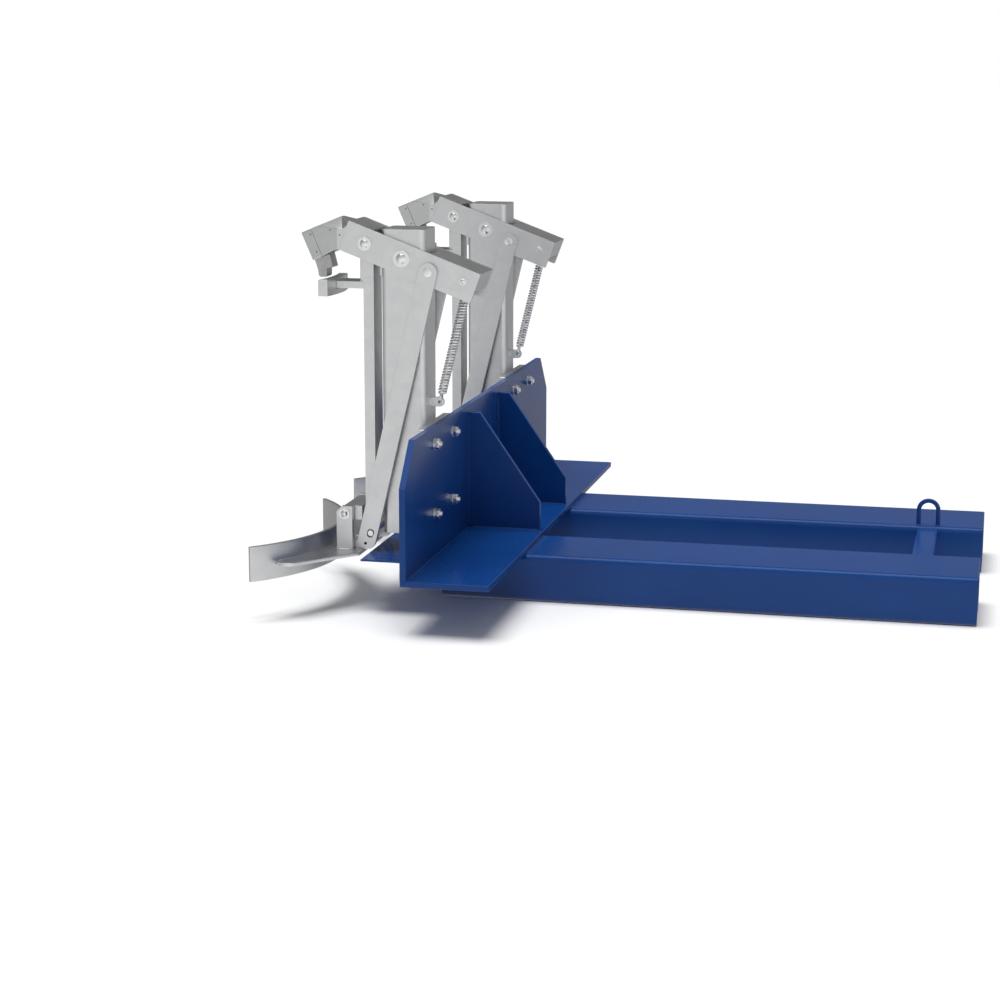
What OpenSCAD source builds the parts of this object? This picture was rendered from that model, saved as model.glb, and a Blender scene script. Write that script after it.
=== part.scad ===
// Drum lifting clamp for two drums, carried on a pair of lifting forks.
// +X points to the rear, where the forks leave the pockets. +Z is up.
// The origin is under the middle of the whole clamp, level with the pockets' undersides.

/* [Drum] */
// Radius of the drum's body
drum_r = 286; // [275:1:297]
// Height of the drum's rim above the undersides of the fork pockets
rim_z = 568.5; // [550:0.5:590]
// Gap between the drum and what rests on its side
drum_gap = 1; // [0.5:0.5:3]

/* [Fork pockets] */
// Outside width of a fork pocket
pocket_w = 168; // [150:1:190]
// Outside height of a fork pocket
pocket_h = 82; // [72:1:92]
// Wall of a fork pocket
pocket_wall = 6; // [4:0.5:8]
// Outside radius of a fork pocket's edges
pocket_edge = 10; // [9:0.5:14]
// Length of a fork pocket
pocket_l = 913; // [800:1:1050]
// Distance between the middles of the fork pockets
pocket_spacing = 395; // [370:1:440]

/* [Base frame] */
// Thickness of the base plate
base_t = 10; // [8:1:14]
// Length of the base plate
base_l = 148; // [140:1:180]
// Width of the base plate and of the bolt plate
base_w = 1116; // [1080:2:1180]
// Thickness of the bolt plate
bolt_plate_t = 10; // [8:1:14]
// Height of the bolt plate above the base plate
bolt_plate_h = 222; // [216:1:240]
// Width of the bevel at the bolt plate's upper corners
corner_w = 62; // [40:1:75]
// Height of the bevel at the bolt plate's upper corners
corner_h = 70; // [50:1:90]
// Thickness of a gusset
gusset_t = 10; // [8:1:14]
// Distance between the middles of the gussets
gusset_spacing = 236; // [200:2:270]
// Length of a gusset's foot
gusset_l = 130; // [110:1:135]
// Height of a gusset
gusset_h = 208; // [180:1:212]
// Length of a gusset's flat top
gusset_top = 20; // [12:1:30]
// Height of a gusset's upright rear edge
gusset_rear_h = 50; // [30:1:70]
// Length of the shelf in front of the bolt plate
shelf_l = 106; // [90:1:106]
// Width of the shelf
shelf_w = 844; // [780:2:900]
// Thickness of the shelf
shelf_t = 3; // [2:0.5:6]
// Width of the cross bar between the pockets
cross_bar_w = 36; // [28:1:48]
// Thickness of the cross bar
cross_bar_t = 12; // [8:1:16]
// Drop of the cross bar's top below the pockets' tops
cross_bar_drop = 6; // [0:1:12]
// Distance from the pockets' rear ends to the middle of the cross bar
cross_bar_back = 99; // [60:1:160]
// Diameter of the chain ring's bar
ring_bar_d = 8; // [6:0.5:12]
// Inside width of the chain ring
ring_inner_w = 27; // [22:1:36]
// Inside height of the chain ring above the pocket
ring_inner_h = 40.5; // [32:0.5:50]
// Distance from the pocket's inner side to the middle of the chain ring
ring_inset = 18; // [15:1:40]

/* [Head mounting] */
// Distance between the middles of the two heads
head_spacing = 612; // [604:2:660]
// Width of a head's mounting flange
flange_w = 180; // [164:1:200]
// Height of a head's mounting flange
flange_h = 176; // [160:1:186]
// Thickness of a head's mounting flange
flange_t = 12; // [10:1:16]
// Sideways distance between a head's bolts
bolt_spacing_y = 126; // [122:1:140]
// Upright distance between a head's bolts
bolt_spacing_z = 120; // [110:1:130]
// Diameter of a head's bolts
bolt_d = 10; // [8:1:12]
// Play of a bolt in its hole, on the diameter
bolt_play = 1; // [0.5:0.5:2]

/* [Column] */
// Depth of the column, front to rear
column_d = 75; // [70:1:80]
// Width of the column
column_w = 80; // [70:1:90]
// Wall of the column
column_wall = 5; // [4:0.5:8]
// Outside radius of the column's edges
column_edge = 9; // [8.5:0.5:12]
// Distance from the drum's side to the middle of the column
column_reach = 136.5; // [132:0.5:142]
// Height of the column's foot above the undersides of the pockets
column_foot_z = 123.5; // [116:0.5:130]
// Height of the column's top above the beam's hinge
column_head = 48; // [44:1:50]
// Thickness of the cap on the column
cap_t = 5; // [3:0.5:8]

/* [Beam] */
// Length of the beam's cheeks
beam_l = 242; // [236:1:252]
// Height of the beam's cheeks
beam_h = 52; // [48:1:56]
// Thickness of a cheek
cheek_t = 6; // [5:0.5:8]
// Side gap between a cheek and the column
cheek_gap = 1; // [0.5:0.5:2]
// Downward tilt of the beam towards the rear, in degrees
beam_tilt = 20.5; // [19.5:0.5:21.5]
// Height of the beam's hinge above the drum's rim
hinge_rise = 25; // [22:0.5:28]
// Distance from the beam's front end to its hinge
hinge_u = 107; // [104:1:110]
// Distance from the beam's front end to the pin of the front bar
nose_u = 39; // [37:0.5:41]
// Distance from the beam's front end to the pin of the links
link_u = 158; // [155:1:161]
// Drop of the link pin below the beam's middle line
link_drop = 4; // [2:0.5:6]
// Distance from the beam's front end to the spring's pin
spring_u = 218; // [214:1:224]
// Rise of the spring's pin above the beam's middle line
spring_rise = 4; // [0:0.5:8]
// Length of the web over the beam's front
front_web_l = 44; // [38:1:44]
// Length of the web over the beam's rear
rear_web_l = 92; // [80:1:92]
// Thickness of the webs
web_t = 6; // [4:0.5:8]
// Height of the web across the beam's rear end
end_web_h = 32; // [26:1:36]

/* [Beak] */
// Width of the beak at its nose
nose_w = 32; // [28:1:38]
// Reach of the beak inside the drum's side
beak_reach = 47.5; // [46:0.5:49]
// Height of the beak's front corner above the rim
beak_corner_rise = 62; // [60:0.5:64]
// Height of the beak's crest above the rim
beak_crest_rise = 94; // [92:0.5:96]
// Distance of the beak's crest behind the drum's side
beak_crest_back = 31; // [28:0.5:34]
// Height above the rim of the lower end of the beak's front bar
beak_foot_rise = 16; // [15:0.5:18]
// Distance from the upper end of the beak's front bar back to its lower end
nose_bar_rake = 23; // [21:0.5:24]
// Height of the beak's underside above the rim, over the drum's side
beak_notch_rise = 29; // [28:0.5:31]
// Wall of the beak
beak_wall = 6; // [4:0.5:8]
// Thickness of the bar along the beak's front edge
nose_bar_t = 16; // [13:0.5:18]
// Depth to which the tooth hooks down behind the rim
tooth_drop = 12; // [9:0.5:15]
// Thickness of the hooking end of the tooth
tooth_t = 15; // [12:0.5:18]
// Width of the tooth
tooth_w = 30; // [24:1:34]
// Gap between the tooth and the drum's inside
tooth_gap = 3; // [2:0.5:6]

/* [Front bar and jaw] */
// Thickness of the front bar
bar_t = 18; // [16:1:19]
// Width of the front bar
bar_w = 50; // [40:1:60]
// Thickness of the jaw's arm
arm_t = 12; // [8:1:16]
// Thickness of the arm's upright leg, which lies against the front bar
leg_t = 7; // [5:0.5:9]
// Width of the arm's upright leg
leg_w = 40; // [30:1:48]
// Height of the leg's top above the drum's rim
leg_rise = 31; // [26:1:32]
// Width of the jaw pad
pad_w = 120; // [100:2:150]
// Thickness of the jaw pad
pad_t = 16; // [12:1:18]
// Height of the jaw pad
pad_h = 28; // [22:1:36]
// Drop of the jaw pad's top below the rim
pad_drop = 12; // [10:0.5:16]
// Width of the block at the front bar's foot
block_w = 93; // [86:1:93]
// Height of the block at the front bar's foot
block_h = 24; // [20:1:28]

/* [Saddle] */
// Height of the saddle's pivot above the undersides of the pockets
pivot_z = 157.5; // [150:0.5:164]
// Distance from the drum's side to the saddle's pivot
pivot_reach = 36; // [34:0.5:38]
// Drop of the saddle's middle below its pivot
saddle_drop = 62; // [60:0.5:64]
// Height of the saddle's band
band_h = 60; // [50:1:70]
// Thickness of the saddle's band
band_t = 6; // [4:0.5:8]
// Half of the angle that the saddle's band covers, in degrees
band_angle = 46; // [42:1:50]
// Thickness of the saddle's rib
rib_t = 6; // [5:0.5:8]
// Distance from the drum's side to the rib's rear edge
rib_reach = 68; // [66:0.5:70]
// Width of the rib's rear edge
rib_rear_w = 160; // [150:1:176]
// Distance between the middles of the rib's rounded ends
rib_span = 332; // [320:2:340]
// Radius of the rib's rounded ends
rib_end_r = 20; // [16:0.5:22]
// Distance from the drum's side in to the middles of the rib's rounded ends
rib_end_in = 30; // [27:0.5:33]
// Thickness of the lugs at the saddle's pivot
pivot_lug_t = 10; // [8:0.5:12]
// Thickness of the lugs at the links' lower pin
pin_lug_t = 5; // [4:0.5:6]

/* [Links and pins] */
// Width of a link
link_w = 32; // [28:1:34]
// Thickness of a link
link_t = 6; // [5:0.5:8]
// Side gap between a link and a cheek
link_gap = 0.5; // [0.4:0.1:1]
// Distance behind the saddle's pivot of the links' lower pin
lower_pin_back = 44; // [42:0.5:46]
// Distance below the saddle's pivot of the links' lower pin
lower_pin_drop = 33.5; // [32:0.5:35]
// Diameter of the links' lower pin
lower_pin_d = 10; // [8:0.5:11]
// Distance from the links' lower pin forward to the middle of the links' rounded end
link_end_ahead = 6.5; // [5:0.5:7.5]
// Distance from the links' lower pin down to the middle of the links' rounded end
link_end_drop = 12.5; // [11.5:0.5:13.5]
// Diameter of the socket screw near the links' lower end
link_screw_d = 5; // [4:0.5:6]
// Play of the lower pin across its slot, to each side
slot_play = 0.9; // [0.8:0.1:1.2]
// Distance between the centres of the slot's round ends
slot_l = 4; // [3:0.5:6]
// Diameter of the beam's hinge pin
hinge_pin_d = 20; // [18:1:22]
// Diameter of the front bar's pin and of the saddle's pivot pin
bar_pin_d = 16; // [14:1:18]
// Diameter of the links' upper pin
link_pin_d = 16; // [14:1:18]
// Running clearance of a turning pin in its bore, on the radius
run_gap = 0.05; // [0.02:0.01:0.1]

/* [Spring] */
// Diameter of the spring's wire
wire_d = 2.8; // [2.4:0.1:3.4]
// Outside diameter of the spring's coil
coil_d = 16; // [14:0.5:19]
// Number of turns in the coil
coil_turns = 27; // [22:1:32]
// Diameter of the spring's upper pin
spring_pin_d = 8; // [6:0.5:10]
// Distance from the column's rear face to the spring's lower eye
anchor_back = 16; // [14:0.5:20]
// Drop of the spring's lower eye below the beam's hinge
anchor_drop = 246; // [230:1:255]

/* [Hidden] */
$fn = 64;
// Small overlap between the stages of one cut or one solid
eps = 0.1;
// Length of a drill cut, longer than any piece that it passes through
drill_l = 3 * column_w;
blue = "#1d3f86";
zinc = "#c3c3c3";
steel = "#8c8c8c";
bright = "#dcdcdc";

// Side view of a head: distances from the drum's axis and heights, as [x, z]
hinge = [drum_r + column_reach, rim_z + hinge_rise];
function beam_point(u, v) = hinge + [(u - hinge_u) * cos(beam_tilt) + v * sin(beam_tilt),
    v * cos(beam_tilt) - (u - hinge_u) * sin(beam_tilt)];
nose = beam_point(nose_u, 0);
link_top = beam_point(link_u, -link_drop);
spring_top = beam_point(spring_u, spring_rise);
pivot = [drum_r + pivot_reach, pivot_z];
lower_pin = pivot + [lower_pin_back, -lower_pin_drop];
link_end = lower_pin - [link_end_ahead, link_end_drop];
link_screw = link_end - [link_screw_d / 2, link_screw_d + slot_play / 2];
column_front = hinge[0] - column_d / 2;
column_rear = hinge[0] + column_d / 2;
column_top = hinge[1] + column_head;
anchor = [column_rear + anchor_back, hinge[1] - anchor_drop];
bar_front = nose[0] - bar_t / 2;
rib_top = pivot[1] - saddle_drop;
pad_top = rim_z - pad_drop;
arm_top = pad_top - pad_h / 2 + arm_t / 2 + 3;

// Half widths across a head, from the middle plane outwards
cheek_in = column_w / 2 + cheek_gap;
cheek_out = cheek_in + cheek_t;
link_in = cheek_out + link_gap;
link_out = link_in + link_t;
pin_lug_in = cheek_in;
pivot_lug_in = block_w / 2 + 3.5;
pivot_lug_out = pivot_lug_in + pivot_lug_t;

// Places along the whole clamp, measured from the drums' axes
plate_front = column_rear + flange_t;
plate_rear = plate_front + bolt_plate_t;
rear_end = plate_front + pocket_l;
band_in = drum_r + drum_gap;
band_out = band_in + band_t;
front_end = band_in * cos(band_angle);
origin_x = (front_end + rear_end) / 2;
base_top = pocket_h + base_t;
flange_z = base_top + bolt_plate_h - flange_h / 2;

module whole() { translate([-origin_x, 0, 0]) children(); }
module left_head() { whole() translate([0, -head_spacing / 2, 0]) children(); }
module right_head() { whole() translate([0, head_spacing / 2, 0]) mirror([0, 1, 0]) children(); }

// A side profile drawn in X and Z, given a thickness along Y from y0 to y1
module side_plate(y0, y1) {
    translate([0, y1, 0]) rotate([90, 0, 0]) linear_extrude(y1 - y0) children();
}
module rod(at, r, y0, y1) { side_plate(y0, y1) translate(at) circle(r); }
module rounded(w, h, r) {
    translate([r, 0]) square([w - 2 * r, h]);
    translate([0, r]) square([w, h - 2 * r]);
    for (x = [r, w - r], y = [r, h - r]) translate([x, y]) circle(r);
}
// The end of a round bar with a low dome, standing up from the origin
module domed_end(r, h, dome_h) {
    ball = (r * r + dome_h * dome_h) / (2 * dome_h);
    intersection() {
        cylinder(h = h + dome_h, r = r);
        translate([0, 0, h + dome_h - ball]) sphere(ball);
    }
}
// A flat collar with a narrower domed end on it
module domed_head(r, collar_t, dome_h) {
    cylinder(h = collar_t, r = r);
    domed_end(r * 0.6, collar_t, dome_h);
}
module head_pair(at, y, r, collar_t, dome_h) {
    translate([at[0], -y, at[1]]) rotate([90, 0, 0]) domed_head(r, collar_t, dome_h);
    translate([at[0], y, at[1]]) rotate([-90, 0, 0]) domed_head(r, collar_t, dome_h);
}
module on_beam() {
    translate([hinge[0], 0, hinge[1]]) rotate([0, beam_tilt, 0]) translate([-hinge_u, 0, 0])
        children();
}

// Base frame

module fork_pocket() {
    color(blue) translate([plate_front, -pocket_w / 2, 0])
        rotate([90, 0, 90]) linear_extrude(pocket_l) difference() {
            rounded(pocket_w, pocket_h, pocket_edge);
            translate([pocket_wall, pocket_wall])
                rounded(pocket_w - 2 * pocket_wall, pocket_h - 2 * pocket_wall,
                    pocket_edge - pocket_wall);
        }
}
module base_plate() {
    color(blue) translate([plate_front, -base_w / 2, pocket_h]) cube([base_l, base_w, base_t]);
}
module bolt_plate() {
    half = base_w / 2;
    color(blue) difference() {
        translate([plate_front, 0, base_top]) rotate([90, 0, 90]) linear_extrude(bolt_plate_t)
            polygon([[-half, 0], [half, 0], [half, bolt_plate_h - corner_h],
                [half - corner_w, bolt_plate_h], [corner_w - half, bolt_plate_h],
                [-half, bolt_plate_h - corner_h]]);
        for (side = [-1, 1]) translate([0, side * head_spacing / 2, 0])
            bolt_places() cylinder(h = drill_l, d = bolt_d + bolt_play, center = true);
    }
}
module gusset() {
    color(blue) translate([plate_rear, 0, base_top]) side_plate(-gusset_t / 2, gusset_t / 2)
        polygon([[0, 0], [gusset_l, 0], [gusset_l, gusset_rear_h], [gusset_top, gusset_h],
            [0, gusset_h]]);
}
module front_shelf() {
    color(blue) translate([plate_front - shelf_l, -shelf_w / 2, base_top - shelf_t])
        cube([shelf_l, shelf_w, shelf_t]);
}
module cross_bar() {
    span = pocket_spacing - pocket_w;
    color(blue) translate([rear_end - cross_bar_back - cross_bar_w / 2, -span / 2,
        pocket_h - cross_bar_drop - cross_bar_t]) cube([cross_bar_w, span, cross_bar_t]);
}
module chain_ring() {
    bend_r = (ring_inner_w + ring_bar_d) / 2;
    leg_h = ring_inner_h - ring_inner_w / 2;
    y = (pocket_spacing - pocket_w) / 2 + ring_inset;
    color(blue) translate([rear_end - cross_bar_back, y, pocket_h]) {
        for (side = [-1, 1]) translate([side * bend_r, 0, 0]) cylinder(h = leg_h, d = ring_bar_d);
        translate([0, 0, leg_h]) rotate([90, 0, 0]) rotate_extrude(angle = 180)
            translate([bend_r, 0]) circle(d = ring_bar_d);
    }
}

// Head: fixed column and its fastening

module bolt_places() {
    for (y = [-1, 1] * bolt_spacing_y / 2, z = [-1, 1] * bolt_spacing_z / 2)
        translate([plate_front, y, flange_z + z]) rotate([0, 90, 0]) children();
}
module column() {
    h = column_top - cap_t - column_foot_z;
    color(zinc) difference() {
        union() {
            translate([column_front, -column_w / 2, column_foot_z]) linear_extrude(h)
                difference() {
                    rounded(column_d, column_w, column_edge);
                    translate([column_wall, column_wall])
                        rounded(column_d - 2 * column_wall, column_w - 2 * column_wall,
                            column_edge - column_wall);
                }
            translate([column_front, -column_w / 2, column_foot_z + h]) linear_extrude(cap_t)
                rounded(column_d, column_w, column_edge);
        }
        rod(hinge, hinge_pin_d / 2 + run_gap, -drill_l, drill_l);
    }
}
module column_lugs() {
    // The front lug steadies the front bar, the rear one holds the spring
    stop_t = 8;
    stop_h = 26;
    stop_w = bar_w * 0.8;
    stop_z = hinge[1] - 29;
    lug_r = 8;
    lug_t = 6;
    eye_room = 1.6;
    color(zinc) {
        side_plate(-stop_w / 2, stop_w / 2) {
            translate([column_front - stop_t, stop_z]) square([stop_t, stop_h]);
            translate([column_front - stop_t / 2, stop_z]) circle(stop_t / 2);
        }
        side_plate(-lug_t / 2, lug_t / 2) difference() {
            union() {
                translate([column_rear, anchor[1] - lug_r]) square([anchor_back, 2 * lug_r]);
                translate(anchor) circle(lug_r);
            }
            translate(anchor) circle(wire_d / 2 + eye_room);
        }
    }
}
module flange() {
    color(zinc) difference() {
        translate([column_rear, -flange_w / 2, flange_z - flange_h / 2])
            rotate([90, 0, 90]) linear_extrude(flange_t) rounded(flange_w, flange_h, flange_t / 3);
        bolt_places() cylinder(h = drill_l, d = bolt_d + bolt_play, center = true);
    }
}
module bolts() {
    hex_d = bolt_d * 1.85;
    head_h = bolt_d * 0.64;
    washer_t = 1.5;
    nut_h = bolt_d * 0.8;
    end_h = bolt_d * 0.3;
    dome_h = bolt_d * 0.16;
    color(bright) bolt_places() {
        translate([0, 0, -flange_t - head_h]) cylinder(h = head_h, d = hex_d, $fn = 6);
        translate([0, 0, -flange_t - eps])
            cylinder(h = flange_t + bolt_plate_t + washer_t + 2 * eps, d = bolt_d);
        translate([0, 0, bolt_plate_t]) {
            cylinder(h = washer_t, d = bolt_d * 2);
            translate([0, 0, washer_t]) cylinder(h = nut_h, d = hex_d, $fn = 6);
            translate([0, 0, washer_t + nut_h - eps]) domed_end(bolt_d / 2, end_h, dome_h);
        }
    }
}

// Head: beam with beak and tooth

module cheek() {
    color(zinc) difference() {
        on_beam() side_plate(cheek_in, cheek_out)
            translate([0, -beam_h / 2]) rounded(beam_l, beam_h, cheek_t / 3);
        rod(hinge, hinge_pin_d / 2, 0, drill_l);
        rod(nose, bar_pin_d / 2, 0, drill_l);
        rod(link_top, link_pin_d / 2, 0, drill_l);
        rod(spring_top, spring_pin_d / 2, 0, drill_l);
    }
}
module beam_webs() {
    color(zinc) on_beam() side_plate(-cheek_in, cheek_in) {
        translate([0, beam_h / 2 - web_t]) square([front_web_l, web_t]);
        translate([beam_l - rear_web_l, beam_h / 2 - web_t]) square([rear_web_l, web_t]);
        translate([beam_l - web_t, beam_h / 2 - end_web_h]) square([web_t, end_web_h]);
    }
}
// The beak's side outline hangs on the drum's rim and on the beam's front end
beak_back = 14;
beak_corner = [drum_r - beak_reach, rim_z + beak_corner_rise];
beak_apex = [drum_r + beak_crest_back, rim_z + beak_crest_rise];
beak_foot = [beak_corner[0] + nose_bar_rake, rim_z + beak_foot_rise];
beak_notch = [drum_r + 2, rim_z + beak_notch_rise];
beak_throat = beak_notch + [17, 8];
nose_bar_lean = atan2(nose_bar_rake, beak_corner_rise - beak_foot_rise);
beam_chin = beam_point(0, -beam_h / 2);
beam_brow = beam_point(0, beam_h / 2 - web_t);
module beak_outline() {
    polygon([beak_corner, beak_apex, beam_brow, beam_point(beak_back, beam_h / 2 - web_t),
        beam_point(beak_back, -beam_h / 2), beam_chin, beak_throat, beak_notch, beak_foot]);
}
// Plan view: parallel sides between the cheeks, then straight tapers to the nose
module beak_plan(in) {
    back = beam_brow[0] + beam_h;
    shoulder = beam_chin[0] - 4;
    side = cheek_in - in;
    nose_half = nose_w / 2 - in;
    front = beak_corner[0] - 5;
    polygon([[front, -nose_half], [beak_corner[0], -nose_half], [shoulder, -side], [back, -side],
        [back, side], [shoulder, side], [beak_corner[0], nose_half], [front, nose_half]]);
}
module beak() {
    color(zinc) difference() {
        intersection() {
            side_plate(-cheek_in, cheek_in) beak_outline();
            translate([0, 0, rim_z]) linear_extrude(2 * beak_crest_rise) beak_plan(0);
        }
        intersection() {
            translate([nose_bar_t / cos(nose_bar_lean), 0, -beak_wall / cos(22)])
                side_plate(-cheek_in, cheek_in) beak_hollow();
            translate([0, 0, rim_z]) linear_extrude(2 * beak_crest_rise) beak_plan(beak_wall);
        }
    }
}
// The hollow under the beak's roof, open towards the column and below
module beak_hollow() {
    far = 2 * beam_h;
    polygon([beak_corner, beak_apex, beam_brow, beam_brow + [far, 0], beam_chin + [far, -far],
        beak_throat - [0, far], beak_foot - [0, far], beak_foot]);
}
module tooth() {
    rim_in = drum_r - tooth_gap;
    low = rim_z - tooth_drop;
    color(steel) side_plate(-tooth_w / 2, tooth_w / 2)
        polygon([beak_foot, [rim_in - tooth_t - 1, rim_z], [rim_in - tooth_t, low + 2],
            [rim_in - tooth_t + 3, low], [rim_in - 2, low], [rim_in, low + 3], [rim_in, rim_z + 2.5],
            [drum_r + 8, rim_z + 5], beak_notch]);
}
module hinge_pin() {
    color(bright) {
        rod(hinge, hinge_pin_d / 2, -cheek_out, cheek_out);
        head_pair(hinge, cheek_out, hinge_pin_d * 0.72, 2, 4);
    }
}
module nose_pin() {
    color(bright) {
        rod(nose, bar_pin_d / 2, -cheek_out, cheek_out);
        head_pair(nose, cheek_out, bar_pin_d * 0.74, 2, 3.5);
    }
}
// Each cheek has a short pin of its own here, because the column passes between them
module link_pins() {
    color(bright) {
        for (side = [0, 1]) mirror([0, side, 0]) {
            rod(link_top, link_pin_d / 2, cheek_in, link_out);
            translate([link_top[0], link_out, link_top[1]]) rotate([-90, 0, 0])
                domed_end(link_pin_d / 2, link_gap, 1);
        }
    }
}
module spring_pin() {
    color(bright) {
        rod(spring_top, spring_pin_d / 2, -cheek_out, cheek_out);
        head_pair(spring_top, cheek_out, spring_pin_d * 0.8, 1.5, 2.5);
    }
}

// Head: front bar with jaw

module front_bar() {
    foot_z = pivot[1] - block_h / 2;
    eye_r = bar_pin_d / 2 + 7;
    color(zinc) difference() {
        union() {
            side_plate(-bar_w / 2, bar_w / 2) {
                translate([bar_front, foot_z]) square([bar_t, nose[1] - foot_z]);
                translate(nose) circle(eye_r);
            }
            rod(nose, eye_r - 2, -cheek_in + cheek_gap, cheek_in - cheek_gap);
        }
        rod(nose, bar_pin_d / 2 + run_gap, -drill_l, drill_l);
    }
}
module jaw_pad() {
    color(zinc) intersection() {
        translate([0, 0, pad_top - pad_h]) difference() {
            cylinder(h = pad_h, r = band_in + pad_t, $fn = 180);
            translate([0, 0, -eps]) cylinder(h = pad_h + 2 * eps, r = band_in, $fn = 180);
        }
        translate([band_in / 2, -pad_w / 2, pad_top - pad_h]) cube([drum_r, pad_w, pad_h]);
    }
}
module jaw_arm() {
    color(zinc) {
        translate([0, 0, arm_top - arm_t]) difference() {
            translate([drum_r, -bar_w / 2, 0]) cube([bar_front - drum_r, bar_w, arm_t]);
            translate([0, 0, -eps]) cylinder(h = arm_t + 2 * eps, r = band_in + pad_t, $fn = 180);
        }
        translate([bar_front - leg_t, -leg_w / 2, arm_top - eps])
            cube([leg_t, leg_w, rim_z + leg_rise - arm_top + eps]);
    }
}
module cross_block() {
    color(zinc) difference() {
        side_plate(-block_w / 2, block_w / 2) {
            translate([pivot[0], pivot[1] - block_h / 2])
                square([bar_front - pivot[0], block_h]);
            translate(pivot) circle(block_h / 2);
        }
        rod(pivot, bar_pin_d / 2 + run_gap, -drill_l, drill_l);
    }
}

// Head: links

link_run = link_top - link_end;
link_len = norm(link_run);
link_tilt = atan2(link_run[0], link_run[1]);
function on_link(p) = [(p - link_top)[0] * cos(link_tilt) - (p - link_top)[1] * sin(link_tilt),
    (p - link_top)[0] * sin(link_tilt) + (p - link_top)[1] * cos(link_tilt)];
module link() {
    r = link_w / 2;
    slot_r = lower_pin_d / 2 + slot_play;
    color(zinc) translate([link_top[0], 0, link_top[1]]) rotate([0, link_tilt, 0])
        side_plate(link_in, link_out) difference() {
            union() {
                circle(r);
                translate([-r, -link_len]) square([link_w, link_len]);
                translate([0, -link_len]) circle(r);
            }
            circle(link_pin_d / 2 + run_gap);
            translate(on_link(link_screw)) circle(link_screw_d / 2);
            translate(on_link(lower_pin)) {
                for (end = [-1, 1]) translate([0, end * slot_l / 2]) circle(slot_r);
                translate([-slot_r, -slot_l / 2]) square([2 * slot_r, slot_l]);
            }
        }
}
// Socket screws, sunk a little below the links' faces
module link_screws() {
    sunk = 1;
    socket_d = link_screw_d * 0.55;
    socket_h = link_screw_d * 0.5;
    color(steel) for (side = [0, 1]) mirror([0, side, 0]) difference() {
        rod(link_screw, link_screw_d / 2, link_in, link_out - sunk);
        side_plate(link_out - sunk - socket_h, link_out)
            translate(link_screw) circle(d = socket_d, $fn = 6);
    }
}

// Head: saddle

module saddle_band() {
    color(zinc) translate([0, 0, rib_top - band_h / 2]) rotate([0, 0, -band_angle])
        rotate_extrude(angle = 2 * band_angle, $fn = 180)
            translate([band_in, 0]) square([band_t, band_h]);
}
module saddle_rib() {
    rear = drum_r + rib_reach;
    half = rib_rear_w / 2;
    bevel = 10;
    corner = [rear - bevel, half + bevel * 0.8];
    end = [drum_r - rib_end_in, rib_span / 2];
    // The flank runs from the bevelled corner to touch the rounded end
    run = corner - end;
    turn = atan2(run[1], run[0]) + acos(rib_end_r / norm(run));
    flank = rib_end_r * [cos(turn), sin(turn)];
    color(zinc) translate([0, 0, rib_top - rib_t]) linear_extrude(rib_t) difference() {
        union() {
            for (side = [0, 1]) mirror([0, side]) {
                polygon([[rear, 0], [rear, half], corner, end + flank, end,
                    end - [rib_end_r, 0], [band_in * 0.7, 0]]);
                translate(end) circle(rib_end_r);
            }
        }
        circle(band_out, $fn = 180);
    }
}
module saddle_lugs() {
    lug_back = 14;
    lug_rise = 13;
    eye_wall = 5;
    color(zinc) for (side = [0, 1]) mirror([0, side, 0]) {
        difference() {
            side_plate(pivot_lug_in, pivot_lug_out)
                polygon([[pivot[0] - lug_back, rib_top], [pivot[0] + lug_back, rib_top],
                    pivot + [lug_back, lug_rise], pivot + [-eye_wall, lug_rise],
                    [pivot[0] - lug_back, pivot[1] + 4]]);
            rod(pivot, bar_pin_d / 2, 0, drill_l);
        }
        difference() {
            side_plate(pin_lug_in, pin_lug_in + pin_lug_t) {
                translate(lower_pin) circle(lower_pin_d / 2 + eye_wall);
                polygon([[lower_pin[0] - 40, rib_top], [drum_r + rib_reach, rib_top],
                    lower_pin + [8, -6], lower_pin + [-6, 8]]);
            }
            rod(lower_pin, lower_pin_d / 2, 0, drill_l);
        }
    }
}
module saddle_pins() {
    color(bright) {
        rod(pivot, bar_pin_d / 2, -pivot_lug_out, pivot_lug_out);
        head_pair(pivot, pivot_lug_out, bar_pin_d * 0.62, 1.5, 3);
        for (side = [0, 1]) mirror([0, side, 0])
            rod(pivot, bar_pin_d / 2 + 4, block_w / 2 + 0.4, pivot_lug_in);
        rod(lower_pin, lower_pin_d / 2, -link_out, link_out);
    }
}

// Head: spring, a wire coiled between two eyes

spring_run = spring_top - anchor;
spring_len = norm(spring_run);
spring_tilt = atan2(spring_run[0], spring_run[1]);
full_turn = 360;
wire_r = wire_d / 2;
coil_r = coil_d / 2 - wire_r;
eye_r = spring_pin_d / 2 + wire_r + 0.2;
// The coil's ends lie against the eyes, which stand a quarter turn apart
eye_reach = sqrt(pow(eye_r + wire_d, 2) - pow(coil_r, 2)) + 0.15;
coil_low = eye_r + eye_reach;
coil_l = spring_len - coil_low - eye_reach;
all_turns = coil_turns + 0.25;
function ring_point(turn, a) = let (r = coil_r + wire_r * cos(a), spin = full_turn * (turn + 0.25))
    [r * cos(spin), r * sin(spin), coil_low + coil_l * turn / all_turns + wire_r * sin(a)];
module coil() {
    steps = 8;
    sides = 5;
    rings = all_turns * steps;
    points = [for (i = [0:rings], j = [0:sides - 1]) ring_point(i / steps, full_turn * j / sides)];
    skin = [for (i = [0:rings - 1], j = [0:sides - 1], half = [0, 1])
        let (a = i * sides + j, b = i * sides + (j + 1) % sides)
            half == 0 ? [a, b, b + sides] : [a, b + sides, a + sides]];
    start = [for (j = [0:sides - 1]) sides - 1 - j];
    stop = [for (j = [0:sides - 1]) rings * sides + j];
    polyhedron(points, concat(skin, [start, stop]), convexity = 10);
}
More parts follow.
